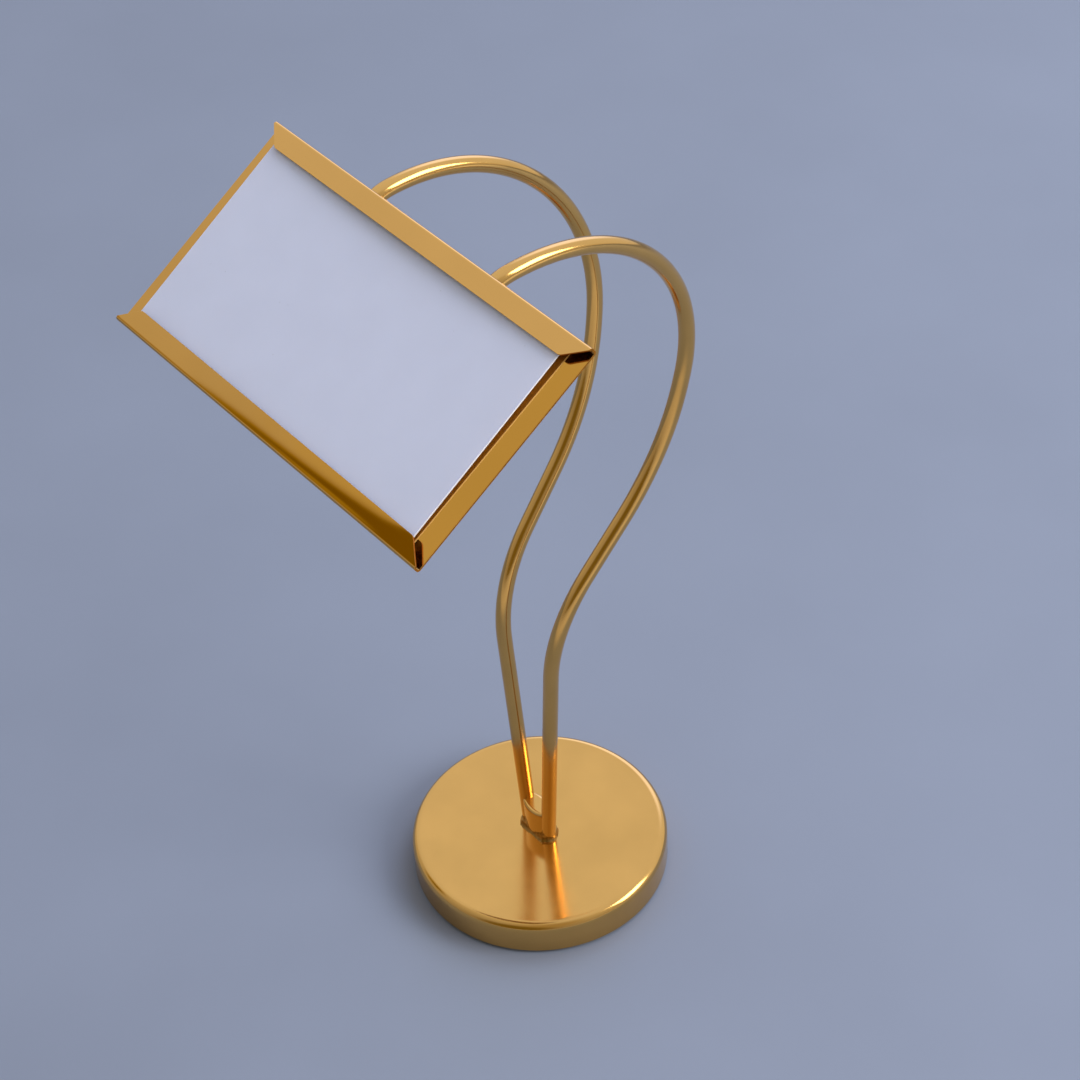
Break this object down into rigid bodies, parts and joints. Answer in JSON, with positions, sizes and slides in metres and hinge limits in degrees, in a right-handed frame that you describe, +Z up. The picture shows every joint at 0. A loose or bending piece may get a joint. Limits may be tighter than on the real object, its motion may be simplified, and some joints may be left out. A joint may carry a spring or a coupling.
{
  "type": "place card holder",
  "caption": "Table stand that holds a place card: a weighted round base, bent rods that curve up and over, and a sloping folded tray, open at both ends, that the card slides into.",
  "frame": {"origin": "on the table, at the centre of the pad under the base", "axes": "+X along the tray, to the right for a reader in front; -Y towards the reader; +Z up"},
  "size_m": [0.0986, 0.0986, 0.1988],
  "materials": {
    "plated_metal": "polished and gold plated",
    "plated_sheet": "mirror polished and gold plated",
    "solder": "smoothed and plated over",
    "iron": "as cast, painted black",
    "zinc_steel": "bright zinc plated",
    "pad": "soft foam, matt",
    "card": "smooth uncoated board"
  },
  "bodies": {
    "stand": {"base_shell": "plated_metal", "base_weight": "iron", "base_pad": "pad", "clamp_plate": "zinc_steel", "lock_washer_left": "zinc_steel", "lock_washer_right": "zinc_steel", "nut_left": "zinc_steel", "nut_right": "zinc_steel", "rod_left": "plated_metal", "rod_right": "plated_metal", "foot_spacer": "plated_metal", "tray": "plated_sheet", "solder_left": "solder", "solder_right": "solder"},
    "card": {"place_card": "card"}
  },
  "joints": [
    {"name": "card_slide", "type": "slide", "parent": "stand", "child": "card", "axis": [1, 0, 0], "range_m": [-0.1, 0.1]}
  ]
}
